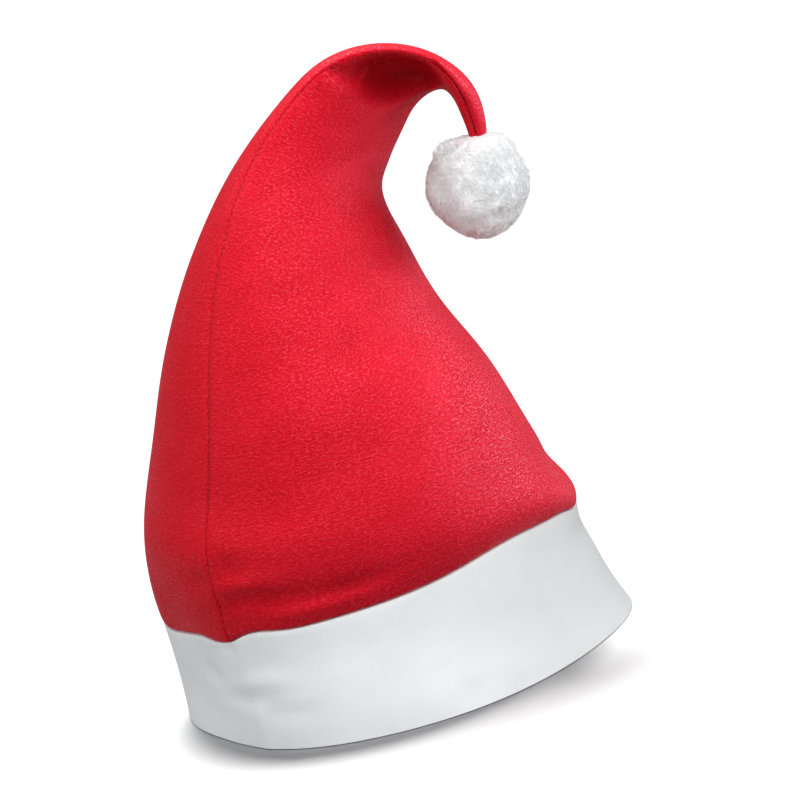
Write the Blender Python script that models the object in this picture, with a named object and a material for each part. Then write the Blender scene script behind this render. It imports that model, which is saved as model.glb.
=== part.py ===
"""Santa hat of brushed felt, standing on its rim: two crown panels, a band and a pompom.

Metres, +Z up. The rim stands on Z = 0, the bent tip falls towards +X, and -Y is the side that
the seam and the bend are seen from. The origin is the middle of the hat's footprint.

The hat is cut flat: a front and a back panel of red felt are sewn along two side seams, and a
strip of white felt is sewn to their lower edge. Every piece is lofted through sections. A section
lies between two points of the outline, an outer and an inner one, and is a lens between the two
side seams. The lens is banked: the line from seam to seam turns out of the outline's plane
towards the viewer.
"""

import math
import random
from collections import namedtuple

import bmesh
import bpy
import numpy as np
from mathutils import Vector

# The hat's sizes
RIM_HALF_WIDTH = 0.099
BAND_HEIGHT = 0.050
BAND_DROP = 0.0025  # the band is this much lower on the outer side of the bend
BAND_LIFT = 0.0070  # and this much higher on the inner side
SEAM_DIP = 0.0045  # the band seam sinks this much where the ridge seam meets it
CROWN_RISE = 0.2135  # from the band's outer end to the top of the bend
POMPOM_DIAMETER = 0.0460
TUFT_HEIGHT = 0.0030  # from the bottom to the top of the pompom's tufts

# The felt and its seams
CROWN_FELT = 0.0016
BAND_FELT = 0.0018
SEAM_GAP = 0.0003
SEAM_GROOVE = 0.0011  # how deep the felt is drawn in at a seam
SEAM_ROLL = 0.0022  # how far from a seam the felt starts to roll in
SIDE_ALLOWANCE = 0.0060  # the side seams' allowance, standing inside the crown
BAND_ALLOWANCE = 0.0040  # the band seam's allowance, turned in under the crown
TIP_DEPTH = 0.0100  # how far the tip is sewn into the pompom
TIP_NOTCH = 0.0025  # how far the pile is drawn in round the tip
TIP_CLEARANCE = 0.0003

# Shares of the sizes above, or of the way along and round the crown
SHOULDER_ALONG = 0.30  # the middle of a rolled edge, in seam rolls from the seam
SHOULDER_DEPTH = 0.35  # and how deep it lies, in seam grooves
DIP_SPREAD = 0.08  # the seam dip's half width, in panel widths
DIP_FADE = 0.10  # how far up the crown the dip is felt
ALLOWANCE_END = 0.64  # the side allowance is trimmed away from here to the tip
ALLOWANCE_TRIM = 0.12  # the stretch over which it narrows
FULL_FELT = 0.125  # how far from a seam the felt has its full thickness, in panel widths

# The pompom's tufts: how many, how wide (in radians at its middle) and how tall (in tuft heights)
TUFTS = 70
TUFT_WIDTHS = (0.24, 0.36)
TUFT_TALLNESS = (0.6, 1.0)
TUFT_STRAY = 0.12
NOTCH_WIDTH = 0.30

# How finely the pieces are divided
CROWN_RINGS = 30
COLUMNS = 19
TIP_COLUMNS = 7
BALL_ROUNDS = 4

RED_FELT = (0.62, 0.012, 0.028, 1.0)
WHITE_FELT = (0.80, 0.82, 0.83, 1.0)
WHITE_PILE = (0.86, 0.87, 0.88, 1.0)

# A section: its place along the piece, the outline's two points (x in rim half widths, up in
# crown rises or band heights), the bank in degrees, how far the front and back panels stand out
# in shares of the half length from seam to seam, and how pointed the lens is at its seams.
Section = namedtuple("Section", "along outer_x outer_up inner_x inner_up bank front back pinch")

CROWN_SECTIONS = [
    Section(0.000, -1.010, -0.008, 0.838, -0.012, 48, 0.78, 0.98, 1.00),
    Section(0.030, -1.022, 0.034, 0.853, 0.010, 48, 0.83, 0.98, 1.00),
    Section(0.115, -0.990, 0.167, 0.755, 0.112, 49, 0.90, 0.96, 1.00),
    Section(0.250, -0.850, 0.350, 0.612, 0.302, 51, 0.90, 0.94, 1.00),
    Section(0.365, -0.707, 0.517, 0.458, 0.444, 51, 0.85, 0.90, 1.02),
    Section(0.470, -0.515, 0.677, 0.382, 0.566, 48, 0.76, 0.84, 1.05),
    Section(0.570, -0.253, 0.831, 0.350, 0.676, 44, 0.62, 0.72, 1.08),
    Section(0.640, -0.020, 0.925, 0.388, 0.722, 44, 0.50, 0.62, 1.10),
    Section(0.715, 0.232, 0.997, 0.476, 0.774, 48, 0.30, 0.52, 1.12),
    Section(0.775, 0.475, 0.997, 0.555, 0.818, 56, 0.16, 0.48, 1.12),
    Section(0.808, 0.596, 0.975, 0.620, 0.833, 64, 0.16, 0.46, 1.10),
    Section(0.845, 0.710, 0.939, 0.677, 0.833, 80, 0.30, 0.46, 1.05),
    Section(0.880, 0.783, 0.892, 0.702, 0.815, 100, 0.50, 0.58, 1.00),
    Section(0.915, 0.818, 0.845, 0.717, 0.782, 106, 0.62, 0.68, 1.00),
    Section(0.955, 0.808, 0.777, 0.737, 0.729, 104, 0.72, 0.75, 1.00),
    Section(1.000, 0.770, 0.729, 0.723, 0.683, 98, 0.80, 0.80, 1.00),
]

BAND_SECTIONS = [
    Section(0.000, -1.000, 0.000, 1.005, 0.000, 47, 0.76, 1.04, 0.94),
    Section(0.420, -1.000, 0.470, 0.904, 0.430, 47, 0.76, 1.02, 0.96),
    Section(0.750, -1.002, 0.800, 0.856, 0.740, 48, 0.77, 1.00, 0.98),
    Section(1.000, -1.010, 1.000, 0.838, 1.000, 48, 0.78, 0.98, 1.00),
]

# A soft fold: its place along the piece, its place around (0 at the ridge seam, from there to 1
# over the front panel and to -1 over the back one, which both end at the other seam), its half
# length each way, its slant, and how far it stands out in rim half widths, or in, below 0. A fold
# that crosses the band seam is in both tables, centred on the seam, so that the edges still meet.
Fold = namedtuple("Fold", "along around tall wide slant out")

CROWN_FOLDS = [
    Fold(0.000, -0.12, 0.090, 0.09, 0.0, -0.050),
    Fold(0.050, 0.22, 0.020, 0.30, 0.0, -0.026),
    Fold(0.028, 0.30, 0.014, 0.30, 0.0, 0.014),
    Fold(0.170, 0.05, 0.045, 0.22, 0.6, -0.020),
    Fold(0.110, 0.10, 0.030, 0.25, 0.0, 0.014),
    Fold(0.540, 0.92, 0.050, 0.16, 0.0, -0.040),
    Fold(0.760, 0.26, 0.060, 0.20, 0.0, -0.060),
    Fold(0.690, 0.10, 0.018, 0.06, 0.0, -0.014),
]

BAND_FOLDS = [
    Fold(1.000, -0.12, 0.900, 0.09, 0.0, -0.050),
    Fold(0.200, -0.12, 0.350, 0.09, 0.0, -0.040),
    Fold(0.660, 0.05, 0.150, 0.10, 0.0, -0.024),
    Fold(0.250, 0.24, 0.360, 0.12, -0.3, 0.024),
    Fold(0.150, 0.60, 0.350, 0.14, 0.0, -0.026),
]


def blended(sections, along):
    """The section at a place along the piece, on smooth curves through the table's rows."""
    rows = np.array(sections, float)
    places = rows[:, 0]
    slopes = np.gradient(rows, places, axis=0)
    low = int(np.clip(np.searchsorted(places, along) - 1, 0, len(places) - 2))
    high = low + 1
    span = places[high] - places[low]
    t = (along - places[low]) / span
    rise = t * t * (3 - 2 * t)
    leave = t * (1 - t) ** 2 * span
    arrive = t * t * (t - 1) * span
    mixed = rows[low] + rise * (rows[high] - rows[low]) + leave * slopes[low] + arrive * slopes[high]
    return Section(*mixed)


def crown_ends(section):
    """The outer and inner points of a crown section."""
    outer_z = BAND_HEIGHT - BAND_DROP + section.outer_up * CROWN_RISE
    inner_z = BAND_HEIGHT + BAND_LIFT + section.inner_up * CROWN_RISE
    return (
        np.array([section.outer_x * RIM_HALF_WIDTH, 0.0, outer_z]),
        np.array([section.inner_x * RIM_HALF_WIDTH, 0.0, inner_z]),
    )


def band_ends(section):
    """The outer and inner points of a band section, whose top row meets the crown's first."""
    outer_top, inner_top = crown_ends(CROWN_SECTIONS[0])
    return (
        np.array([section.outer_x * RIM_HALF_WIDTH, 0.0, section.outer_up * outer_top[2]]),
        np.array([section.inner_x * RIM_HALF_WIDTH, 0.0, section.inner_up * inner_top[2]]),
    )


def middle_length(sections, ends):
    """The length of a piece along the line midway between its outer and inner points."""
    middles = np.array([np.mean(ends(section), axis=0) for section in sections])
    return float(np.linalg.norm(np.diff(middles, axis=0), axis=1).sum())


class Slice:
    """One section in place: its plane, and the lens in it that just spans its two ends."""

    FINE = np.linspace(0, math.pi, 181)

    def __init__(self, section, ends, folds, seam_dip=0.0):
        self.section, self.folds, self.seam_dip = section, folds, seam_dip
        outer, inner = ends(section)
        bank = math.radians(section.bank)
        spread = [
            np.cos(self.FINE) * math.cos(bank) - side * self.bulge(self.FINE, side) * math.sin(bank)
            for side in (1, -1)
        ]
        furthest, least = np.max(spread), np.min(spread)
        across = outer - inner
        self.half = float(np.linalg.norm(across) / (furthest - least))
        outward = across / np.linalg.norm(across)
        nearer = np.array([0.0, -1.0, 0.0])
        self.centre = outer - outward * furthest * self.half
        self.seamward = outward * math.cos(bank) + nearer * math.sin(bank)
        self.frontward = nearer * math.cos(bank) - outward * math.sin(bank)

    def lengths(self, side):
        """A panel's length from the ridge seam to each of the fine angles."""
        steps = np.hypot(np.diff(np.cos(self.FINE)), np.diff(self.bulge(self.FINE, side)))
        return np.concatenate([[0.0], np.cumsum(steps)]) * self.half

    def bulge(self, angle, side):
        """How far a panel stands out at an angle from the ridge seam, in half lengths."""
        share = self.section.front if side > 0 else self.section.back
        return share * np.abs(np.sin(angle)) ** self.section.pinch

    def point(self, seamwise, frontwise, around):
        """The point at two distances from the slice's centre, sunk near the ridge seam."""
        sunk = self.seam_dip * math.exp(-((around / DIP_SPREAD) ** 2))
        return self.centre + seamwise * self.seamward + frontwise * self.frontward - [0, 0, sunk]

    def pushed(self, angle, around):
        """How far the folds push the felt, seamwards and frontwards."""
        total = 0.0
        for fold in self.folds:
            up = self.section.along - fold.along
            away = (around - fold.around - fold.slant * up + 1) % 2 - 1
            total += fold.out * math.exp(-((up / fold.tall) ** 2) - (away / fold.wide) ** 2)
        side = 1 if around >= 0 else -1
        return np.array([math.cos(angle), side * math.sin(angle)]) * total * RIM_HALF_WIDTH

    def columns(self, side, count):
        """The angles of a side's columns, and their shares of the way from seam to seam."""
        lengths = self.lengths(side)
        whole = lengths[-1]
        roll = min(SEAM_ROLL, whole / 6)
        ends = np.array([0.0, SHOULDER_ALONG * roll, roll])
        between = np.linspace(roll, whole - roll, count)[1:-1]
        places = np.concatenate([ends, between, whole - ends[::-1]])
        return np.interp(places, lengths, self.FINE), places / whole

    def panel(self, side, drawn_in, allowance):
        """A panel's outer points and, back again, its inner ones with the seams' allowances."""
        angles, shares = self.columns(side, COLUMNS)
        groove = np.zeros(len(angles))
        groove[[0, -1]] = SEAM_GROOVE
        groove[[1, -2]] = SEAM_GROOVE * SHOULDER_DEPTH
        half = self.half - drawn_in
        outer, inner = [], []
        for angle, share, drawn in zip(angles, shares, groove):
            sine, cosine = math.sin(angle), math.cos(angle)
            around = side * max(share, 1e-6)
            push = self.pushed(angle, around)
            out = side * self.bulge(angle, side) * half
            outside = out + side * SEAM_GAP / 2 + push[1]
            outer.append(self.point(cosine * (half - drawn) + push[0], outside, around))
            midway = (self.section.front - self.section.back) / 2
            midway *= half * sine**self.section.pinch
            thick = CROWN_FELT * min(1.0, min(share, 1 - share) / FULL_FELT) ** 0.5
            inside = side * max(side * (out - midway) - thick, 0.0) + midway
            inside += side * SEAM_GAP / 2 + push[1]
            seamwise = cosine * (half - SEAM_GROOVE - CROWN_FELT) + push[0]
            inner.append(self.point(seamwise, inside, around))
        for first, second, inwards in ((0, 1, -1), (-1, -2, 1)):
            turned = min(1.0, allowance / CROWN_FELT)
            root = inner[first] + side * CROWN_FELT * self.frontward
            inner[second] = inner[second] * (1 - turned) + root * turned
            inner[second] += inwards * allowance * self.seamward
            inner[first] = inner[first] + inwards * allowance * self.seamward
        return outer + inner[::-1]

    def loop(self, inset, count=COLUMNS):
        """The whole outline, round both sides, drawn in by an inset."""
        points = []
        for side in (1, -1):
            columns = list(zip(*self.columns(side, count)))
            for angle, share in columns[:-1] if side > 0 else columns[:0:-1]:
                around = side * max(share, 1e-6)
                push = self.pushed(angle, around)
                seamwise = math.cos(angle) * (self.half - inset) + push[0]
                out = self.bulge(angle, side) * self.half - inset * math.sin(angle)
                points.append(self.point(seamwise, side * out + push[1], around))
        return points


def plain_material(name, colour, roughness):
    """A material with the piece's colour."""
    material = bpy.data.materials.new(name)
    material.use_nodes = True
    shader = material.node_tree.nodes["Principled BSDF"]
    shader.inputs["Base Color"].default_value = colour
    shader.inputs["Roughness"].default_value = roughness
    material.diffuse_color = colour
    return material


def loft(name, rings, material, ends_meet=False, double_wall=False):
    """A closed solid through rings of points, its ends capped or joined to each other."""
    shape = bmesh.new()
    rows = [[shape.verts.new(point) for point in ring] for ring in rings]
    count = len(rows[0])
    steps = len(rows) if ends_meet else len(rows) - 1
    for step in range(steps):
        lower, upper = rows[step], rows[(step + 1) % len(rows)]
        for i in range(count):
            j = (i + 1) % count
            shape.faces.new((lower[i], lower[j], upper[j], upper[i]))
    for row in [] if ends_meet else [rows[0], rows[-1]]:
        if double_wall:
            for i in range(count // 2 - 1):
                shape.faces.new((row[i], row[i + 1], row[-2 - i], row[-1 - i]))
        else:
            shape.faces.new(row)
    bmesh.ops.triangulate(shape, faces=shape.faces[:])
    bmesh.ops.recalc_face_normals(shape, faces=shape.faces[:])
    return finished(name, shape, material)


def finished(name, shape, material):
    """Turns a bmesh into a smooth shaded object of the scene."""
    mesh = bpy.data.meshes.new(name)
    shape.to_mesh(mesh)
    shape.free()
    mesh.materials.append(material)
    mesh.shade_smooth()
    mesh.set_sharp_from_angle(angle=math.radians(45))
    piece = bpy.data.objects.new(name, mesh)
    bpy.context.scene.collection.objects.link(piece)
    return piece


def crown_panel(name, side, material):
    """One of the crown's two panels, from its edge at the band to its tip in the pompom."""
    length = middle_length(CROWN_SECTIONS, crown_ends)
    edge = SEAM_GAP / 2 / length
    roll = SEAM_ROLL / length
    places = [edge, SHOULDER_ALONG * roll] + list(np.linspace(roll, 1.0, CROWN_RINGS))
    grooves = [SEAM_GROOVE, SHOULDER_DEPTH * SEAM_GROOVE] + [0.0] * CROWN_RINGS
    rings = []
    for along, groove in zip(places, grooves):
        dip = SEAM_DIP * max(0.0, 1 - along / DIP_FADE) ** 2
        cut = Slice(blended(CROWN_SECTIONS, along), crown_ends, CROWN_FOLDS, dip)
        left = min(1.0, max(0.0, (ALLOWANCE_END - along) / ALLOWANCE_TRIM))
        rings.append(cut.panel(side, groove, SIDE_ALLOWANCE * left))
    return loft(name, rings, material, double_wall=True)


def band(material):
    """The white strip round the hat, cut straight at the rim, with its top edge turned in."""
    height = middle_length(BAND_SECTIONS, band_ends)

    def ring(along, inset):
        dip = SEAM_DIP * along**2
        return Slice(blended(BAND_SECTIONS, along), band_ends, BAND_FOLDS, dip).loop(inset)

    walls = [0.0, 0.2, 0.4, 0.6, 0.8]
    roll = SEAM_ROLL / height
    top = 1 - SEAM_GAP / 2 / height
    under = 1 - BAND_FELT / height
    turned_in = SEAM_GROOVE + BAND_FELT
    rings = [ring(along, 0.0) for along in walls + [1 - roll]]
    rings.append(ring(1 - SHOULDER_ALONG * roll, SHOULDER_DEPTH * SEAM_GROOVE))
    rings.append(ring(top, SEAM_GROOVE))
    rings.append(ring(top, turned_in + BAND_ALLOWANCE))
    rings.append(ring(under, turned_in + BAND_ALLOWANCE))
    rings.append(ring(under, turned_in))
    rings += [ring(along, BAND_FELT) for along in reversed(walls)]
    return loft("band", rings, material, ends_meet=True)


def tip_socket():
    """A guide for the pompom's socket: the crown's tip, larger all round by its clearance."""
    length = middle_length(CROWN_SECTIONS, crown_ends)
    start = 1 - (TIP_DEPTH + 2 * TIP_NOTCH) / length
    room = TIP_CLEARANCE + SEAM_GAP
    rings = []
    for along in np.linspace(start, 1.0, 7):
        cut = Slice(blended(CROWN_SECTIONS, along), crown_ends, CROWN_FOLDS)
        rings.append(cut.loop(-room, TIP_COLUMNS))
    step = np.mean(rings[-1], axis=0) - np.mean(rings[-2], axis=0)
    onwards = step / np.linalg.norm(step) * room
    rings.append([point + onwards for point in rings[-1]])
    guide = loft("tip_socket", rings, None)
    guide.hide_render = True
    guide.display_type = "WIRE"
    return guide


def pompom(material):
    """The pompom: tufts of pile fused to one head, drawn in round the tip that it is sewn to."""
    tip_end = np.mean(crown_ends(CROWN_SECTIONS[-1]), axis=0)
    onwards = tip_end - np.mean(crown_ends(CROWN_SECTIONS[-2]), axis=0)
    onwards /= np.linalg.norm(onwards)
    radius = POMPOM_DIAMETER / 2
    middle = Vector(tip_end + onwards * (radius - TIP_NOTCH - TIP_DEPTH))
    entry = Vector(-onwards)
    chooser = random.Random(7)
    tufts = []
    for i in range(TUFTS):
        level = 1 - 2 * (i + 0.5) / TUFTS
        turn = math.pi * (3 - math.sqrt(5)) * i
        flat = math.sqrt(1 - level * level)
        way = Vector((flat * math.cos(turn), flat * math.sin(turn), level))
        way += Vector([chooser.uniform(-TUFT_STRAY, TUFT_STRAY) for _ in range(3)])
        wide = chooser.uniform(*TUFT_WIDTHS)
        tufts.append((way.normalized(), wide, chooser.uniform(*TUFT_TALLNESS)))
    ball = bmesh.new()
    bmesh.ops.create_icosphere(ball, subdivisions=BALL_ROUNDS, radius=1.0)
    for vertex in ball.verts:
        way = vertex.co.normalized()
        swell = max(high * (1 - (way.angle(tuft) / wide) ** 2) for tuft, wide, high in tufts)
        low = TUFT_HEIGHT * (1 - max(swell, 0.0))
        notch = TIP_NOTCH * math.exp(-((way.angle(entry) / NOTCH_WIDTH) ** 2))
        vertex.co = middle + way * (radius - low - notch)
    bmesh.ops.recalc_face_normals(ball, faces=ball.faces[:])
    piece = finished("pompom", ball, material)
    socket = piece.modifiers.new("tip_socket", "BOOLEAN")
    socket.operation = "DIFFERENCE"
    socket.solver = "EXACT"
    socket.object = tip_socket()
    return piece


def centre_footprint():
    """Moves the whole hat so that the origin is the middle of its bounding box's base."""
    corners = [
        vertex.co
        for piece in bpy.context.scene.objects
        if not piece.hide_render
        for vertex in piece.data.vertices
    ]
    lows = [min(corner[axis] for corner in corners) for axis in range(2)]
    highs = [max(corner[axis] for corner in corners) for axis in range(2)]
    for piece in bpy.context.scene.objects:
        piece.location.x = -(lows[0] + highs[0]) / 2
        piece.location.y = -(lows[1] + highs[1]) / 2


def main():
    for old in list(bpy.data.objects):
        bpy.data.objects.remove(old)
    red_felt = plain_material("red_felt", RED_FELT, 0.85)
    crown_panel("crown_front_panel", 1, red_felt)
    crown_panel("crown_back_panel", -1, red_felt)
    band(plain_material("white_felt", WHITE_FELT, 0.9))
    pompom(plain_material("white_pile", WHITE_PILE, 0.95))
    centre_footprint()


main()
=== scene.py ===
import math
from collections import namedtuple

import bmesh
import bpy
import numpy as np
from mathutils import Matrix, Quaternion, Vector, kdtree


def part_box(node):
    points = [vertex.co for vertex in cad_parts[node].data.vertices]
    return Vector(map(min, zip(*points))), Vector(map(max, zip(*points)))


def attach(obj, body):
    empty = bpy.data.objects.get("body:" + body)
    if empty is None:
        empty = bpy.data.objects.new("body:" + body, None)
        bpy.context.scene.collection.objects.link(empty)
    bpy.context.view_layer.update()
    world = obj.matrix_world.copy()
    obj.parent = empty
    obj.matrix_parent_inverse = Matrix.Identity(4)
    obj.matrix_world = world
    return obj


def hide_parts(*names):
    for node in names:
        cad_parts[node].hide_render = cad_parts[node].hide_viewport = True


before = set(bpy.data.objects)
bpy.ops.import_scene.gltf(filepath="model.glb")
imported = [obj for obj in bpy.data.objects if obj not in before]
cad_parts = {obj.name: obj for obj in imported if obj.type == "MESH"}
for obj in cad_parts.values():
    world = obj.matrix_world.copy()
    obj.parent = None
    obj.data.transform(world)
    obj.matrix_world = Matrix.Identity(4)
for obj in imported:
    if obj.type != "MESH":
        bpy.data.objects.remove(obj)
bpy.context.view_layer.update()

# The floor, the light and the camera
#
# The hat stands on a plain pale floor. A soft lamp above and behind throws its shadow forwards.
# Softboxes on the right and above make the crown's nap shine, and dull ones fill in the left and
# the front. Two more light the white parts.

WHITE = (1.0, 1.0, 1.0, 1.0)
FLOOR_WIDTH = 60
FLOOR_GAP = 0.0003
FLOOR_PAINT = (0.93, 0.93, 0.93, 1)
# The paint that all but the camera sees, so that the floor throws little light back on the hat
FLOOR_THROWN_BACK = (0.22, 0.22, 0.23, 1)
ROOM_LIGHT = (0.93, 0.96, 1.0, 1)
ROOM_STRENGTH = 0.13
scene = bpy.context.scene
scene.view_settings.view_transform = "Standard"


def select_only(*pieces):
    """Leaves nothing selected but these pieces, the first of them active."""
    bpy.ops.object.select_all(action="DESELECT")
    for piece in pieces:
        piece.select_set(True)
    bpy.context.view_layer.objects.active = pieces[0]


bpy.ops.object.select_all(action="DESELECT")
bpy.ops.mesh.primitive_plane_add(size=FLOOR_WIDTH, location=(0, 0, -FLOOR_GAP))
floor = bpy.context.object
floor.name = "floor"
paint = bpy.data.materials.new("floor_paint")
paint.use_nodes = True
nodes, links = paint.node_tree.nodes, paint.node_tree.links
pale = nodes["Principled BSDF"]
pale.inputs["Base Color"].default_value = FLOOR_PAINT
pale.inputs["Roughness"].default_value = 1.0
pale.inputs["Specular IOR Level"].default_value = 0.0
dull = nodes.new("ShaderNodeBsdfDiffuse")
dull.inputs["Color"].default_value = FLOOR_THROWN_BACK
seen = nodes.new("ShaderNodeLightPath")
choose = nodes.new("ShaderNodeMixShader")
links.new(seen.outputs["Is Camera Ray"], choose.inputs["Fac"])
links.new(dull.outputs["BSDF"], choose.inputs[1])
links.new(pale.outputs["BSDF"], choose.inputs[2])
links.new(choose.outputs["Shader"], nodes["Material Output"].inputs["Surface"])
floor.data.materials.append(paint)

world = bpy.data.worlds.new("studio")
scene.world = world
world.use_nodes = True
nodes, links = world.node_tree.nodes, world.node_tree.links
seen = nodes.new("ShaderNodeLightPath")
fill = nodes["Background"]
fill.inputs["Color"].default_value = ROOM_LIGHT
fill.inputs["Strength"].default_value = ROOM_STRENGTH
backdrop = nodes.new("ShaderNodeBackground")
backdrop.inputs["Color"].default_value = WHITE
choose = nodes.new("ShaderNodeMixShader")
links.new(seen.outputs["Is Camera Ray"], choose.inputs["Fac"])
links.new(fill.outputs["Background"], choose.inputs[1])
links.new(backdrop.outputs["Background"], choose.inputs[2])
links.new(choose.outputs["Shader"], nodes["World Output"].inputs["Surface"])

# Each lamp lights only what it is meant for, as if flags kept it off the rest: the whole hat, its
# red crown, its white parts, or the floor
hat_only = bpy.data.collections.new("hat_only")
crown_only = bpy.data.collections.new("crown_only")
white_only = bpy.data.collections.new("white_only")
floor_only = bpy.data.collections.new("floor_only")
for lit, state in ((hat_only, "EXCLUDE"), (floor_only, "INCLUDE")):
    lit.objects.link(floor)
    lit.collection_objects[0].light_linking.link_state = state


def hang(lamp, place, target):
    """Puts a lamp at a place, turned to a target."""
    holder = bpy.data.objects.new(lamp.name, lamp)
    holder.location = place
    holder.rotation_euler = (Vector(place) - Vector(target)).to_track_quat("Z", "Y").to_euler()
    scene.collection.objects.link(holder)
    return holder


def sky(name, place, spread, energy, lit):
    """A soft lamp high above and behind the hat, with its spread in degrees."""
    lamp = bpy.data.lights.new(name, "SUN")
    lamp.energy = energy
    lamp.angle = math.radians(spread)
    hang(lamp, place, (0, 0, 0)).light_linking.receiver_collection = lit


HAT_MIDDLE = (0, 0, 0.12)


def softbox(name, bearing, height, distance, energy, lit, size=1.2, colour=(1, 1, 1), shines=True):
    """A square softbox, turned to the hat's middle. Its bearing, counted to the right from the
    viewer's side, and its height are in degrees. One that doesn't shine gives no highlight."""
    lamp = bpy.data.lights.new(name, "AREA")
    lamp.shape = "SQUARE"
    lamp.size = size
    lamp.energy = energy
    lamp.color = colour
    bearing, height = math.radians(bearing), math.radians(height)
    flat = distance * math.cos(height)
    place = (flat * math.sin(bearing), -flat * math.cos(bearing), distance * math.sin(height))
    holder = hang(lamp, place, HAT_MIDDLE)
    holder.light_linking.receiver_collection = lit
    holder.visible_glossy = shines


# The crown's softboxes are a little rosy, as the shine of the red felt is
ROSE = (1.0, 0.80, 1.10)
sky("overhead", (-0.1, 0.5, 1.6), spread=50, energy=2.7, lit=hat_only)
sky("floor_light", (0.0, 0.52, 1.6), spread=18, energy=4.1, lit=floor_only)
softbox("left_fill", bearing=-62, height=22, distance=2.0, energy=22, lit=hat_only, shines=False)
softbox("front_fill", bearing=10, height=25, distance=2.0, energy=7, lit=hat_only, shines=False)
softbox("key", bearing=80, height=9, distance=1.9, energy=17, lit=crown_only, colour=ROSE)
softbox("side_key", bearing=112, height=10, distance=1.9, energy=20, lit=crown_only, colour=ROSE)
softbox(
    "top_key", bearing=30, height=64, distance=0.52, energy=1.3, lit=crown_only, size=0.4, colour=ROSE
)
softbox("white_key", bearing=52, height=20, distance=1.9, energy=29, lit=white_only)
softbox("white_fill", bearing=-10, height=15, distance=1.9, energy=8, lit=white_only)

VIEW_TARGET = Vector((0.0209, -0.0061, 0.113))
VIEW_DISTANCE = 1.1
VIEW_ELEVATION = math.radians(9.5)
VIEW_ROLL = math.radians(-13)
# The camera's lens and its sensor's width, in mm
VIEW_LENS = 117.86
VIEW_SENSOR = 36.0
lens = bpy.data.cameras.new("camera")
lens.sensor_width = VIEW_SENSOR
lens.lens = VIEW_LENS
camera = bpy.data.objects.new("camera", lens)
towards_camera = Vector((0, -math.cos(VIEW_ELEVATION), math.sin(VIEW_ELEVATION)))
camera.location = VIEW_TARGET + VIEW_DISTANCE * towards_camera
level = towards_camera.to_track_quat("Z", "Y")
camera.rotation_euler = (level @ Quaternion((0, 0, 1), VIEW_ROLL)).to_euler()
scene.collection.objects.link(camera)
scene.camera = camera

# The crown's front panel
#
# Red brushed felt, cut as half of a bent cone and sewn to the back panel along the ridge that
# faces the viewer and along the inside of the bend. Its nap lies round the crown.

# The crown's middle line from the rim to the tip, in the plane of the bend, x and z in mm
SPINE = [
    (-6, 0), (-8, 50), (-11, 82), (-11, 122), (-11, 155), (-6, 185), (6, 213), (19, 228),
    (36, 241), (52, 246), (61, 245), (70, 241), (75, 234), (77, 226), (77, 213), (75, 203),
]
SPINE_Y = -0.0061
SPINE_SAMPLES = 241
SPINE_ROUNDS = 60
spine = np.array([(x / 1000, SPINE_Y, z / 1000) for x, z in SPINE])
spine_lengths = np.concatenate([[0], np.cumsum(np.linalg.norm(np.diff(spine, axis=0), axis=1))])
FINE = np.linspace(0, spine_lengths[-1], SPINE_SAMPLES)
spine_line = np.stack([np.interp(FINE, spine_lengths, spine[:, i]) for i in range(3)], axis=1)
for _ in range(SPINE_ROUNDS):
    spine_line[1:-1] = (spine_line[:-2] + 2 * spine_line[1:-1] + spine_line[2:]) / 4
spine_ahead = np.gradient(spine_line, axis=0)
spine_ahead /= np.linalg.norm(spine_ahead, axis=1)[:, None]


def points_of(piece):
    """The places of a piece's vertices."""
    flat = np.empty(len(piece.data.vertices) * 3)
    piece.data.vertices.foreach_get("co", flat)
    return flat.reshape(-1, 3)


def laid_out(points, lowest):
    """Each point's way along the spine, its angle round it from the bend's outside towards the
    viewer, counted up from a lowest one, its distance from it, and the direction away from it."""
    nearest = np.array([np.argmin(((spine_line - p) ** 2).sum(axis=1)) for p in points])
    away = points - spine_line[nearest]
    ahead = spine_ahead[nearest]
    beyond = (away * ahead).sum(axis=1)
    away -= beyond[:, None] * ahead
    radius = np.linalg.norm(away, axis=1)
    outward = np.stack([-ahead[:, 2], np.zeros(len(ahead)), ahead[:, 0]], axis=1)
    angle = np.arctan2(-away[:, 1], (away * outward).sum(axis=1))
    angle = (angle - lowest) % (2 * math.pi) + lowest
    return FINE[nearest] + beyond, angle, radius, away / np.maximum(radius, 1e-6)[:, None]


def felt_piece(node, name):
    """A copy of a CAD node's mesh with its triangles merged and joined to quads."""
    shape = bmesh.new()
    shape.from_mesh(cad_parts[node].data)
    bmesh.ops.remove_doubles(shape, verts=shape.verts[:], dist=1e-5)
    bmesh.ops.join_triangles(
        shape,
        faces=shape.faces[:],
        angle_face_threshold=math.radians(75),
        angle_shape_threshold=math.radians(120),
        topology_influence=2.0,
    )
    mesh = bpy.data.meshes.new(name)
    shape.to_mesh(mesh)
    shape.free()
    piece = bpy.data.objects.new(name, mesh)
    scene.collection.objects.link(piece)
    return piece


def set_points(piece, points):
    """Moves a piece's vertices."""
    piece.data.vertices.foreach_set("co", points.ravel())
    piece.data.update()


# Edges between faces at more than this are cut edges of the felt
CRISP_ANGLE = math.radians(40)


def softened(piece, levels):
    """Rounds a piece with a subdivision surface that keeps its cut edges crisp."""
    shape = bmesh.new()
    shape.from_mesh(piece.data)
    crispness = shape.edges.layers.float.new("crease_edge")
    for edge in shape.edges:
        edge.smooth = edge.calc_face_angle(0.0) <= CRISP_ANGLE
        edge[crispness] = float(not edge.smooth)
    shape.to_mesh(piece.data)
    shape.free()
    select_only(piece)
    rounder = piece.modifiers.new("rounded", "SUBSURF")
    rounder.levels = rounder.render_levels = levels
    bpy.ops.object.modifier_apply(modifier=rounder.name)
    piece.data.shade_smooth()


GIRTH_PLACES = [0.05, 0.19, 0.25, 0.33]
GIRTH_RADII = [0.085, 0.060, 0.030, 0.010]


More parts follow.
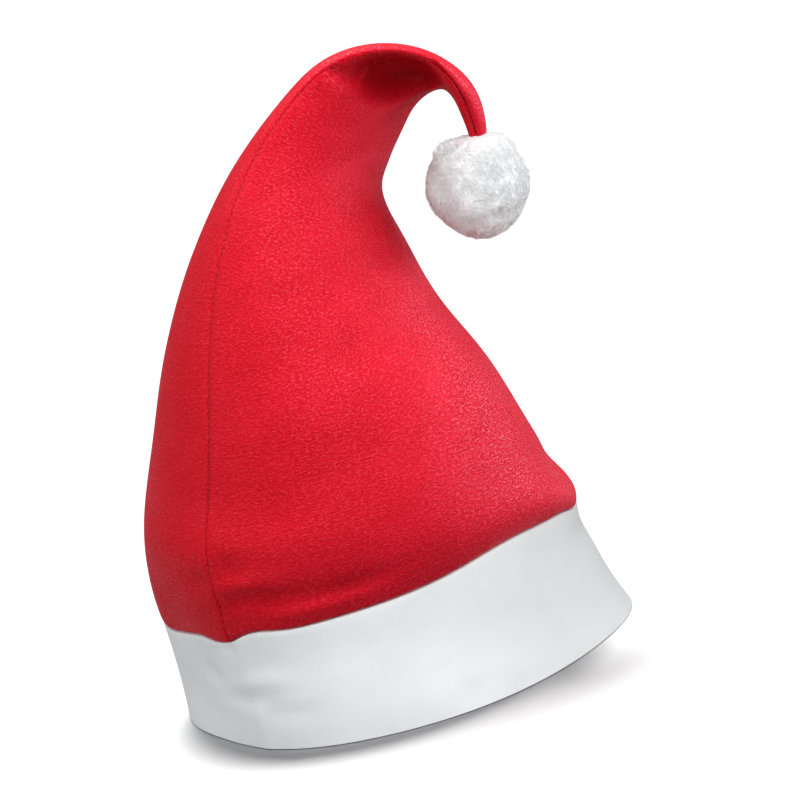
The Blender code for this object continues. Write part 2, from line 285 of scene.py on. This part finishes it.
def girth_at(along):
    """The hat's mean radius at a way along the spine."""
    return np.interp(along, GIRTH_PLACES, GIRTH_RADII)


def map_cloth(piece, along, around):
    """Gives the cloth a map in metres: round the hat, and up it."""
    layer = piece.data.uv_layers.new(name="cloth")
    corners = np.empty(len(piece.data.loops), np.int64)
    piece.data.loops.foreach_get("vertex_index", corners)
    layer.data.foreach_set("uv", np.stack([around, along], axis=1)[corners].ravel())


# A soft fold: its place up the spine in mm and round it in degrees, its half length each way in
# mm, its slant, and how far it stands out in mm, or in, below 0
Fold = namedtuple("Fold", "along around tall wide slant out")

FRONT_FOLDS = [
    Fold(64, 64, 2.4, 16, 0.00, -2.6),
    Fold(71, 61, 3.0, 12, 0.00, 1.6),
    Fold(61, 84, 2.6, 18, 0.05, -1.8),
    Fold(57, 77, 2.6, 16, 0.00, 1.4),
    Fold(78, 56, 4.0, 6, 0.00, -1.7),
]

# Folds that more than one piece shares: the corner over the band on the right
CORNER_FOLDS = [
    Fold(49, 184, 7.0, 30, 0.00, 2.0),
    Fold(64, 184, 9.0, 30, 0.00, -1.7),
]

# Where the band seam runs higher or lower: the place round the hat and the half width in degrees,
# and the rise in mm
SEAM_ALONG, SEAM_REACH = 51, 20
SEAM_RISES = [(14, 14, -2.0), (38, 7, 1.4), (57, 9, 4.2), (137, 24, 3.5), (182, 10, -3.2)]


def folded(points, along, angle, away, folds):
    """Presses folds into the felt, or raises them."""
    for fold in folds:
        up = along * 1000 - fold.along
        aside = (angle - math.radians(fold.around)) * girth_at(along) * 1000 - fold.slant * up
        out = fold.out * np.exp(-((up / fold.tall) ** 2) - (aside / fold.wide) ** 2)
        points += out[:, None] / 1000 * away


def seam_raised(points, along, angle):
    """Moves the felt on both sides of the band seam up or down to the seam's own line."""
    near = np.exp(-(((along * 1000 - SEAM_ALONG) / SEAM_REACH) ** 2))
    for around, wide, rise in SEAM_RISES:
        aside = (np.degrees(angle) - around + 180) % 360 - 180
        points[:, 2] += near * rise / 1000 * np.exp(-((aside / wide) ** 2))


# A dent: its middle, its half lengths and its move, each x, y and z in mm. The first three make
# the hollow under the bend, with its upper left and its right end. The last is the pucker beside it.
Dent = namedtuple("Dent", "middle reach move")

FRONT_DENTS = [
    Dent((48, -10, 246), (19, 14, 10), (0, 13, 2.0)),
    Dent((42, -21, 251), (18, 8, 6), (0, 7.5, 0.5)),
    Dent((60, -6, 241), (9, 8, 6), (0, 5, 1.0)),
    Dent((25, -28, 254), (3.5, 8, 4), (0.5, 2.8, 0)),
]


def dented(points, dents):
    """Pushes the felt in around each dent's middle, with a flat bottom and steep sides."""
    for dent in dents:
        apart = (points * 1000 - dent.middle) / dent.reach
        points += np.exp(-((apart**2).sum(axis=1) ** 2))[:, None] * np.array(dent.move) / 1000


front = felt_piece("crown_front_panel", "front_panel")
softened(front, levels=2)
front_points = points_of(front)
front_along, front_angle, front_radius, front_away = laid_out(front_points, 0.0)
map_cloth(front, front_along, front_angle * girth_at(front_along))
folded(front_points, front_along, front_angle, front_away, FRONT_FOLDS + CORNER_FOLDS)
seam_raised(front_points, front_along, front_angle)
dented(front_points, FRONT_DENTS)
set_points(front, front_points)


def node_group(name, inputs, outputs):
    """A shader node group with its sockets, its node list, its links and its two ends."""
    group = bpy.data.node_groups.new(name, "ShaderNodeTree")
    for label, kind, value in inputs:
        socket = group.interface.new_socket(name=label, in_out="INPUT", socket_type=kind)
        socket.default_value = value
    for label, kind in outputs:
        group.interface.new_socket(name=label, in_out="OUTPUT", socket_type=kind)
    start = group.nodes.new("NodeGroupInput")
    end = group.nodes.new("NodeGroupOutput")
    return group, group.nodes, group.links, start, end


def math_node(nodes, links, operation, first, second):
    """A math node fed by two sockets or numbers."""
    node = nodes.new("ShaderNodeMath")
    node.operation = operation
    for place, value in enumerate((first, second)):
        if isinstance(value, (int, float)):
            node.inputs[place].default_value = value
        else:
            links.new(value, node.inputs[place])
    return node.outputs["Value"]


def mapped(nodes, links, source, limits, results=(0.0, 1.0)):
    """A value carried over from one pair of limits to another."""
    node = nodes.new("ShaderNodeMapRange")
    links.new(source, node.inputs["Value"])
    node.inputs["From Min"].default_value = limits[0]
    node.inputs["From Max"].default_value = limits[1]
    node.inputs["To Min"].default_value = results[0]
    node.inputs["To Max"].default_value = results[1]
    return node.outputs["Result"]


def mixed(nodes, links, share, first, second):
    """A mix of two colours or sockets, with the share that the second one has in it."""
    node = nodes.new("ShaderNodeMix")
    node.data_type = "RGBA"
    links.new(share, node.inputs["Factor"])
    for label, colour in (("A", first), ("B", second)):
        if isinstance(colour, tuple):
            node.inputs[label].default_value = colour
        else:
            links.new(colour, node.inputs[label])
    return node.outputs["Result"]


# How the nap looks anywhere: fine fibres that lie round the hat and glint where they stand up, and
# larger patches where they have been brushed one way or the other
nap, nodes, links, start, end = node_group(
    "felt_nap",
    [
        ("Dark", "NodeSocketColor", (0.3, 0.004, 0.01, 1)),
        ("Plain", "NodeSocketColor", (0.6, 0.01, 0.02, 1)),
        ("Light", "NodeSocketColor", (0.8, 0.05, 0.08, 1)),
        ("Fibres", "NodeSocketFloat", 1.0),
        ("Patches", "NodeSocketFloat", 1.0),
    ],
    [
        ("Colour", "NodeSocketColor"),
        ("Height", "NodeSocketFloat"),
        ("Roughness", "NodeSocketFloat"),
        ("Glints", "NodeSocketFloat"),
    ],
)
cloth_map = nodes.new("ShaderNodeUVMap")
cloth_map.uv_map = "cloth"


def noise_at(nodes, links, source, sizes):
    """Noise whose grains have these two sizes in mm, round the hat and up it."""
    scaled = nodes.new("ShaderNodeMapping")
    scaled.inputs["Scale"].default_value = (1000 / sizes[0], 1000 / sizes[1], 1000 / sizes[0])
    links.new(source, scaled.inputs["Vector"])
    noise = nodes.new("ShaderNodeTexNoise")
    noise.inputs["Scale"].default_value = 1.0
    noise.inputs["Detail"].default_value = 3
    noise.inputs["Roughness"].default_value = 0.6
    noise.inputs["Distortion"].default_value = 0.1
    links.new(scaled.outputs["Vector"], noise.inputs["Vector"])
    return noise.outputs["Fac"]


STREAK_GRAIN = (1.9, 0.9)
HAIR_GRAIN = (0.8, 0.45)
BRUSHED_GRAIN = (30, 18)
# The noise's middle value, at which the felt has its plain colour
EVEN = 0.5
# Where the brushed patches begin and end, and the felt's roughness there
BRUSHED_LIMITS = (0.35, 0.65)
BRUSHED_ROUGHNESS = (0.56, 0.40)
GLINT_LIMITS = (0.02, 0.22)
GLINT_ROUGHNESS = 0.42

streaks = noise_at(nodes, links, cloth_map.outputs["UV"], STREAK_GRAIN)
hairs = noise_at(nodes, links, cloth_map.outputs["UV"], HAIR_GRAIN)
brushed = noise_at(nodes, links, cloth_map.outputs["UV"], BRUSHED_GRAIN)
fine = math_node(nodes, links, "ADD", streaks, hairs)
fine = math_node(nodes, links, "SUBTRACT", fine, 2 * EVEN)
fine_part = math_node(nodes, links, "MULTIPLY", fine, start.outputs["Fibres"])
broad = math_node(nodes, links, "SUBTRACT", brushed, EVEN)
broad_part = math_node(nodes, links, "MULTIPLY", broad, start.outputs["Patches"])
total = math_node(nodes, links, "ADD", fine_part, broad_part)
total = math_node(nodes, links, "ADD", total, EVEN)
lighter = mapped(nodes, links, total, (EVEN, 1.0))
darker = mapped(nodes, links, total, (EVEN, 0.0))
raised = mixed(nodes, links, lighter, start.outputs["Plain"], start.outputs["Light"])
sunk = mixed(nodes, links, darker, raised, start.outputs["Dark"])
links.new(sunk, end.inputs["Colour"])
links.new(fine, end.inputs["Height"])
laid_flat = mapped(nodes, links, brushed, BRUSHED_LIMITS, BRUSHED_ROUGHNESS)
links.new(laid_flat, end.inputs["Roughness"])
glints = mapped(nodes, links, fine, GLINT_LIMITS)
links.new(glints, end.inputs["Glints"])


def felt(name, dark, plain, light, fibres, patches, nap_height, satin, coat, gloss, sheen):
    """A felt of three shades of one colour, with its nap's height in mm. Satin is its metallic
    share, coat the refractive index of its glints, gloss a level and a tint, and sheen a weight,
    a roughness and a tint."""
    material = bpy.data.materials.new(name)
    material.use_nodes = True
    nodes, links = material.node_tree.nodes, material.node_tree.links
    shader = nodes["Principled BSDF"]
    pile = nodes.new("ShaderNodeGroup")
    pile.node_tree = nap
    pile.inputs["Dark"].default_value = (*dark, 1)
    pile.inputs["Plain"].default_value = (*plain, 1)
    pile.inputs["Light"].default_value = (*light, 1)
    pile.inputs["Fibres"].default_value = fibres
    pile.inputs["Patches"].default_value = patches
    links.new(pile.outputs["Colour"], shader.inputs["Base Color"])
    relief = nodes.new("ShaderNodeBump")
    relief.inputs["Distance"].default_value = nap_height / 1000
    relief.inputs["Strength"].default_value = 1.0
    links.new(pile.outputs["Height"], relief.inputs["Height"])
    links.new(relief.outputs["Normal"], shader.inputs["Normal"])
    links.new(pile.outputs["Roughness"], shader.inputs["Roughness"])
    links.new(pile.outputs["Glints"], shader.inputs["Coat Weight"])
    shader.inputs["Coat Roughness"].default_value = GLINT_ROUGHNESS
    shader.inputs["Coat IOR"].default_value = coat
    shader.inputs["Metallic"].default_value = satin
    shader.inputs["Specular IOR Level"].default_value = gloss[0]
    shader.inputs["Specular Tint"].default_value = (*gloss[1], 1)
    shader.inputs["Sheen Weight"].default_value = sheen[0]
    shader.inputs["Sheen Roughness"].default_value = sheen[1]
    shader.inputs["Sheen Tint"].default_value = (*sheen[2], 1)
    return material


red_felt = felt(
    "red_brushed_felt",
    dark=(0.50, 0.005, 0.010),
    plain=(0.67, 0.007, 0.015),
    light=(0.79, 0.014, 0.034),
    fibres=1.0,
    patches=0.7,
    nap_height=0.5,
    satin=0.3,
    coat=1.5,
    gloss=(0.5, (1.0, 0.12, 0.30)),
    sheen=(0.03, 0.4, (1.0, 0.20, 0.45)),
)
front.data.materials.append(red_felt)
crown_only.objects.link(front)
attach(front, "root")
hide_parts("crown_front_panel")

# The crown's back panel
#
# The mirror of the front one, from the same felt.

BACK_FOLDS = [
    Fold(75, 44, 3.0, 8, 0.00, -1.4),
]

back = felt_piece("crown_back_panel", "back_panel")
softened(back, levels=2)
back_points = points_of(back)
back_along, back_angle, _, back_away = laid_out(back_points, -math.pi)
map_cloth(back, back_along, back_angle * girth_at(back_along))
right_corner = [fold._replace(around=fold.around - 360) for fold in CORNER_FOLDS]
folded(back_points, back_along, back_angle, back_away, BACK_FOLDS + right_corner)
seam_raised(back_points, back_along, back_angle)
set_points(back, back_points)
back.data.materials.append(red_felt)
crown_only.objects.link(back)
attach(back, "root")
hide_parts("crown_back_panel")

# The side seams' thread
#
# Dark red thread in short running stitches at the bottom of each side seam's groove, from the band
# to the pompom.

STITCH_PITCH = 0.0029
STITCH_LENGTH = 0.0023
THREAD_RADIUS = 0.00028
STITCH_SIDES = 6
# Each stitch's rings: the place along it, and the thread's width there
STITCH_RINGS = [(0.0, 0.35), (0.12, 0.8), (0.35, 1.0), (0.65, 1.0), (0.88, 0.8), (1.0, 0.35)]
SEAM_STEPS = 100
SEAM_ROUNDS = 3
# The two side seams, each between two angles round the hat in degrees
SIDE_SEAMS = ((5, 140), (140, 290))
# How near to each other the two panels' felt has to be to count as sewn together
SEWN_DISTANCE = 0.0008
FIRST_STITCH = 0.001
THREAD_SHADES = ((0.28, 0.003, 0.007, 1), (0.45, 0.006, 0.014, 1))
PLY_SCALE = 1200


def seam_line(lowest, highest):
    """The line on which the two panels meet, between two angles round the hat."""
    other = kdtree.KDTree(len(back_points))
    for index, point in enumerate(back_points):
        other.insert(point, index)
    other.balance()
    edges = np.linspace(front_along.min(), front_along.max(), SEAM_STEPS + 1)
    line = []
    for low, high in zip(edges[:-1], edges[1:]):
        here = (front_along >= low) & (front_along < high)
        here &= (front_angle > math.radians(lowest)) & (front_angle < math.radians(highest))
        met = []
        for index in np.flatnonzero(here):
            place, _, apart = other.find(front_points[index])
            if apart < SEWN_DISTANCE:
                met.append((front_radius[index], (front_points[index] + np.array(place)) / 2))
        if met:
            line.append(max(met, key=lambda found: found[0])[1])
    line = np.array(line)
    for _ in range(SEAM_ROUNDS):
        line[1:-1] = (line[:-2] + 2 * line[1:-1] + line[2:]) / 4
    return line


def stitched(line, shape):
    """Adds a row of stitches along a line."""
    lengths = np.concatenate([[0], np.cumsum(np.linalg.norm(np.diff(line, axis=0), axis=1))])

    def at(length):
        return Vector([np.interp(length, lengths, line[:, axis]) for axis in range(3)])

    for begin in np.arange(FIRST_STITCH, lengths[-1] - STITCH_PITCH, STITCH_PITCH):
        rows = []
        onwards = (at(begin + STITCH_LENGTH) - at(begin)).normalized()
        first = onwards.orthogonal().normalized()
        second = onwards.cross(first)
        for share, width in STITCH_RINGS:
            middle = at(begin + share * STITCH_LENGTH)
            row = []
            for corner in range(STITCH_SIDES):
                turn = 2 * math.pi * corner / STITCH_SIDES
                across = math.cos(turn) * first + math.sin(turn) * second
                row.append(shape.verts.new(middle + THREAD_RADIUS * width * across))
            rows.append(row)
        for low_row, high_row in zip(rows, rows[1:]):
            for i in range(STITCH_SIDES):
                j = (i + 1) % STITCH_SIDES
                shape.faces.new((low_row[i], low_row[j], high_row[j], high_row[i]))
        shape.faces.new(rows[0][::-1])
        shape.faces.new(rows[-1])


thread_shape = bmesh.new()
for lowest, highest in SIDE_SEAMS:
    stitched(seam_line(lowest, highest), thread_shape)
bmesh.ops.recalc_face_normals(thread_shape, faces=thread_shape.faces[:])
thread_mesh = bpy.data.meshes.new("seam_thread")
thread_shape.to_mesh(thread_mesh)
thread_shape.free()
thread = bpy.data.objects.new("seam_thread", thread_mesh)
scene.collection.objects.link(thread)
thread_mesh.shade_smooth()
thread_red = bpy.data.materials.new("dark_red_thread")
thread_red.use_nodes = True
nodes, links = thread_red.node_tree.nodes, thread_red.node_tree.links
place = nodes.new("ShaderNodeTexCoord")
plies = nodes.new("ShaderNodeTexWave")
plies.bands_direction = "DIAGONAL"
plies.inputs["Scale"].default_value = PLY_SCALE
links.new(place.outputs["Object"], plies.inputs["Vector"])
shade = mixed(nodes, links, plies.outputs["Fac"], *THREAD_SHADES)
links.new(shade, nodes["Principled BSDF"].inputs["Base Color"])
nodes["Principled BSDF"].inputs["Roughness"].default_value = 0.6
thread_mesh.materials.append(thread_red)
crown_only.objects.link(thread)
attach(thread, "root")

# The band
#
# A strip of white felt, its top edge turned in and sewn to the crown, its lower edge cut straight.

BAND_RADIUS = 0.095
BAND_FOLDS = [
    Fold(44, 49, 5.0, 5, 0.00, -2.0),
    Fold(29, 57, 3.0, 12, 0.10, 1.4),
    Fold(22, 50, 3.0, 14, -0.60, -1.4),
    Fold(31, 36, 5.0, 6, -0.50, -1.2),
    Fold(16, 63, 3.0, 12, -0.40, -0.9),
    Fold(25, 184, 11.0, 30, 0.00, 1.2),
]

band = felt_piece("band", "white_band")
softened(band, levels=2)
band_points = points_of(band)
around = np.arctan2(-band_points[:, 1], -band_points[:, 0])
map_cloth(band, band_points[:, 2], around * BAND_RADIUS)
band_along, band_angle, _, band_away = laid_out(band_points, 0.0)
folded(band_points, band_along, band_angle, band_away, BAND_FOLDS + CORNER_FOLDS)
seam_raised(band_points, band_along, band_angle)
set_points(band, band_points)
white_felt = felt(
    "white_brushed_felt",
    dark=(0.54, 0.57, 0.59),
    plain=(0.63, 0.65, 0.655),
    light=(0.68, 0.69, 0.69),
    fibres=0.35,
    patches=0.8,
    nap_height=0.07,
    satin=0.0,
    coat=1.1,
    gloss=(0.3, (1.0, 1.0, 1.0)),
    sheen=(0.1, 0.5, (1.0, 1.0, 1.0)),
)
band.data.materials.append(white_felt)
white_only.objects.link(band)
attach(band, "root")
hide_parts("band")

# The pompom
#
# A ball of fluffy white pile, sewn to the tip. A soft core carries thousands of fine fibres that
# lie over each other in tufts.

POMPOM_RADIUS = 0.0208
# How far the core's middle is above that of the solid ball
CORE_RISE = 0.0012
# How the core is pulled out of round: the way to the pulled point, how far round it the pull
# reaches in mm, and the pull in mm
CORE_PULLS = [
    ((-0.45, -0.30, 0.85), 10, 5.4),
    ((0.60, -0.25, 0.80), 11, 3.4),
    ((0.10, -0.35, 1.00), 8, -8.0),
    ((0.10, -0.10, -1.00), 12, 0.4),
    ((-0.80, -0.20, -0.60), 13, -1.6),
    ((0.80, -0.30, -0.55), 12, -1.2),
    ((-0.95, -0.35, 0.10), 9, 0.9),
    ((-0.72, -0.72, 0.10), 6, -1.1),
    ((-0.30, -0.95, -0.35), 8, 0.9),
    ((0.30, -0.80, -0.65), 6, -1.2),
]
# The core's rough surface: the size of the lumps, and their height
CORE_LUMPS = [(0.0075, 0.0011), (0.0026, 0.0004)]

pompom_low, pompom_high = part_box("pompom")
pompom_middle = (pompom_low + pompom_high) / 2 + Vector((0, 0, CORE_RISE))
bpy.ops.object.select_all(action="DESELECT")
bpy.ops.mesh.primitive_ico_sphere_add(
    subdivisions=6, radius=POMPOM_RADIUS, location=pompom_middle
)
core = bpy.context.object
core.name = "pompom_core"
bpy.ops.object.transform_apply(location=True, rotation=True, scale=True)
bpy.ops.object.mode_set(mode="EDIT")
for way, reach, pull in CORE_PULLS:
    way = Vector(way).normalized()
    shape = bmesh.from_edit_mesh(core.data)
    bpy.ops.mesh.select_all(action="DESELECT")
    furthest = max(shape.verts, key=lambda vertex: (vertex.co - pompom_middle).dot(way))
    furthest.select = True
    shape.select_flush(True)
    bmesh.update_edit_mesh(core.data)
    bpy.ops.transform.translate(
        value=way * pull / 1000,
        use_proportional_edit=True,
        proportional_edit_falloff="SMOOTH",
        proportional_size=reach / 1000,
    )
bpy.ops.object.mode_set(mode="OBJECT")
for grain, depth in CORE_LUMPS:
    clouds = bpy.data.textures.new("pile", "CLOUDS")
    clouds.noise_scale = grain
    clouds.noise_depth = 2
    tufty = core.modifiers.new("tufty", "DISPLACE")
    tufty.texture = clouds
    tufty.texture_coords = "LOCAL"
    tufty.strength = depth
    bpy.ops.object.modifier_apply(modifier=tufty.name)
core.data.shade_smooth()

FIBRES = 11500
FIBRE_LENGTHS = (0.0030, 0.0058)
FIBRE_RADIUS = 0.00010
# The corners of a fibre's ring, in radians
FIBRE_CORNERS = (0.0, 2.0944, 4.1888)
TUFTS = 230
# What lays a fibre down: its tuft's combing, its share of the way to the tuft's middle, and chance
COMBING = 0.0030
GATHERING = 0.5
STRAYING = 0.0030
# How deep in the core a fibre is rooted
ROOT_DEPTH = 0.0004
# A fibre's rise and reach at its bend and at its tip, as shares of its length
BEND_RISE = 0.30
BEND_REACH = 0.25
TIP_RISES = (0.10, 0.26)
TIP_REACH = 0.85
# The pile is shorter where the tip is sewn in, down to a share of its length
NOTCH = np.array(pompom_middle) + (0.0020, -0.0055, 0.0170)
NOTCH_WIDTH = 0.012
NOTCH_SHORTEST = 0.1
# Each fibre's rings: the place along it, and its width there. It ends in a point.
FIBRE_RINGS = [(0.0, 1.0), (0.35, 0.9), (0.7, 0.6)]


def of_core_faces(label):
    """The middle of each of the core's faces, or the way that it looks."""
    flat = np.empty(len(core.data.polygons) * 3)
    core.data.polygons.foreach_get(label, flat)
    return flat.reshape(-1, 3)


face_middles = of_core_faces("center")
face_ways = of_core_faces("normal")
core_faces = len(face_middles)


def unit(vectors):
    """Each vector with a length of one."""
    return vectors / np.maximum(np.linalg.norm(vectors, axis=1), 1e-9)[:, None]


def pile(name, seed):
    """Fibres all over the core, each bent over towards the middle of its tuft and combed with it."""
    chooser = np.random.default_rng(seed)
    rooted = chooser.integers(0, core_faces, FIBRES)
    root, way = face_middles[rooted], face_ways[rooted]
    tuft = face_middles[chooser.integers(0, core_faces, TUFTS)]
    combed = unit(chooser.normal(size=(TUFTS, 3)))
    own = np.array([np.argmin(((tuft - point) ** 2).sum(axis=1)) for point in root])
    gather = tuft[own] - root
    lay = combed[own] * COMBING + GATHERING * gather
    lay = lay + chooser.normal(scale=STRAYING, size=(FIBRES, 3))
    lay -= (lay * way).sum(axis=1)[:, None] * way
    lay = unit(lay)
    length = chooser.uniform(*FIBRE_LENGTHS, FIBRES)[:, None]
    length *= np.clip(np.linalg.norm(root - NOTCH, axis=1) / NOTCH_WIDTH, NOTCH_SHORTEST, 1)[:, None]
    lift = chooser.uniform(*TIP_RISES, FIBRES)[:, None]
    root = root - ROOT_DEPTH * way
    bend = root + way * length * BEND_RISE + lay * length * BEND_REACH
    tip = root + way * length * lift + lay * length * TIP_REACH
    across = unit(np.cross(way, lay))
    upright = unit(np.cross(across, tip - root))
    rings = []
    for share, width in FIBRE_RINGS:
        middle = (1 - share) ** 2 * root + 2 * share * (1 - share) * bend + share**2 * tip
        for turn in FIBRE_CORNERS:
            off = math.cos(turn) * across + math.sin(turn) * upright
            rings.append(middle + FIBRE_RADIUS * width * off)
    points = np.stack(rings + [tip], axis=1)
    count = points.shape[1]
    sides = [(0, 2, 1)]
    for ring in range(len(FIBRE_RINGS) - 1):
        for i in range(3):
            a, b = 3 * ring + i, 3 * ring + (i + 1) % 3
            sides += [(a, b, b + 3), (a, b + 3, a + 3)]
    last = 3 * (len(FIBRE_RINGS) - 1)
    sides += [(last + i, last + (i + 1) % 3, count - 1) for i in range(3)]
    faces = (np.arange(FIBRES)[:, None, None] * count + np.array(sides)[None]).reshape(-1, 3)
    mesh = bpy.data.meshes.new(name)
    mesh.vertices.add(FIBRES * count)
    mesh.vertices.foreach_set("co", points.ravel())
    mesh.loops.add(len(faces) * 3)
    mesh.loops.foreach_set("vertex_index", faces.ravel())
    mesh.polygons.add(len(faces))
    mesh.polygons.foreach_set("loop_start", np.arange(0, len(faces) * 3, 3))
    mesh.update(calc_edges=True)
    mesh.shade_smooth()
    piece = bpy.data.objects.new(name, mesh)
    scene.collection.objects.link(piece)
    return piece


WISP_GRAIN = (4, 4)
PILE_SHADES = ((0.91, 0.92, 0.925, 1), (0.96, 0.965, 0.965, 1))
white_pile = bpy.data.materials.new("white_fluffy_pile")
white_pile.use_nodes = True
nodes, links = white_pile.node_tree.nodes, white_pile.node_tree.links
shader = nodes["Principled BSDF"]
place = nodes.new("ShaderNodeTexCoord")
wisps = noise_at(nodes, links, place.outputs["Object"], WISP_GRAIN)
links.new(mixed(nodes, links, wisps, *PILE_SHADES), shader.inputs["Base Color"])
shader.inputs["Roughness"].default_value = 0.9
shader.inputs["Specular IOR Level"].default_value = 0.0
pompom_pieces = [core, pile("pompom_pile_under", seed=11), pile("pompom_pile_over", seed=23)]
for piece in pompom_pieces:
    piece.data.materials.append(white_pile)
    white_only.objects.link(piece)
    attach(piece, "root")
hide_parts("pompom")
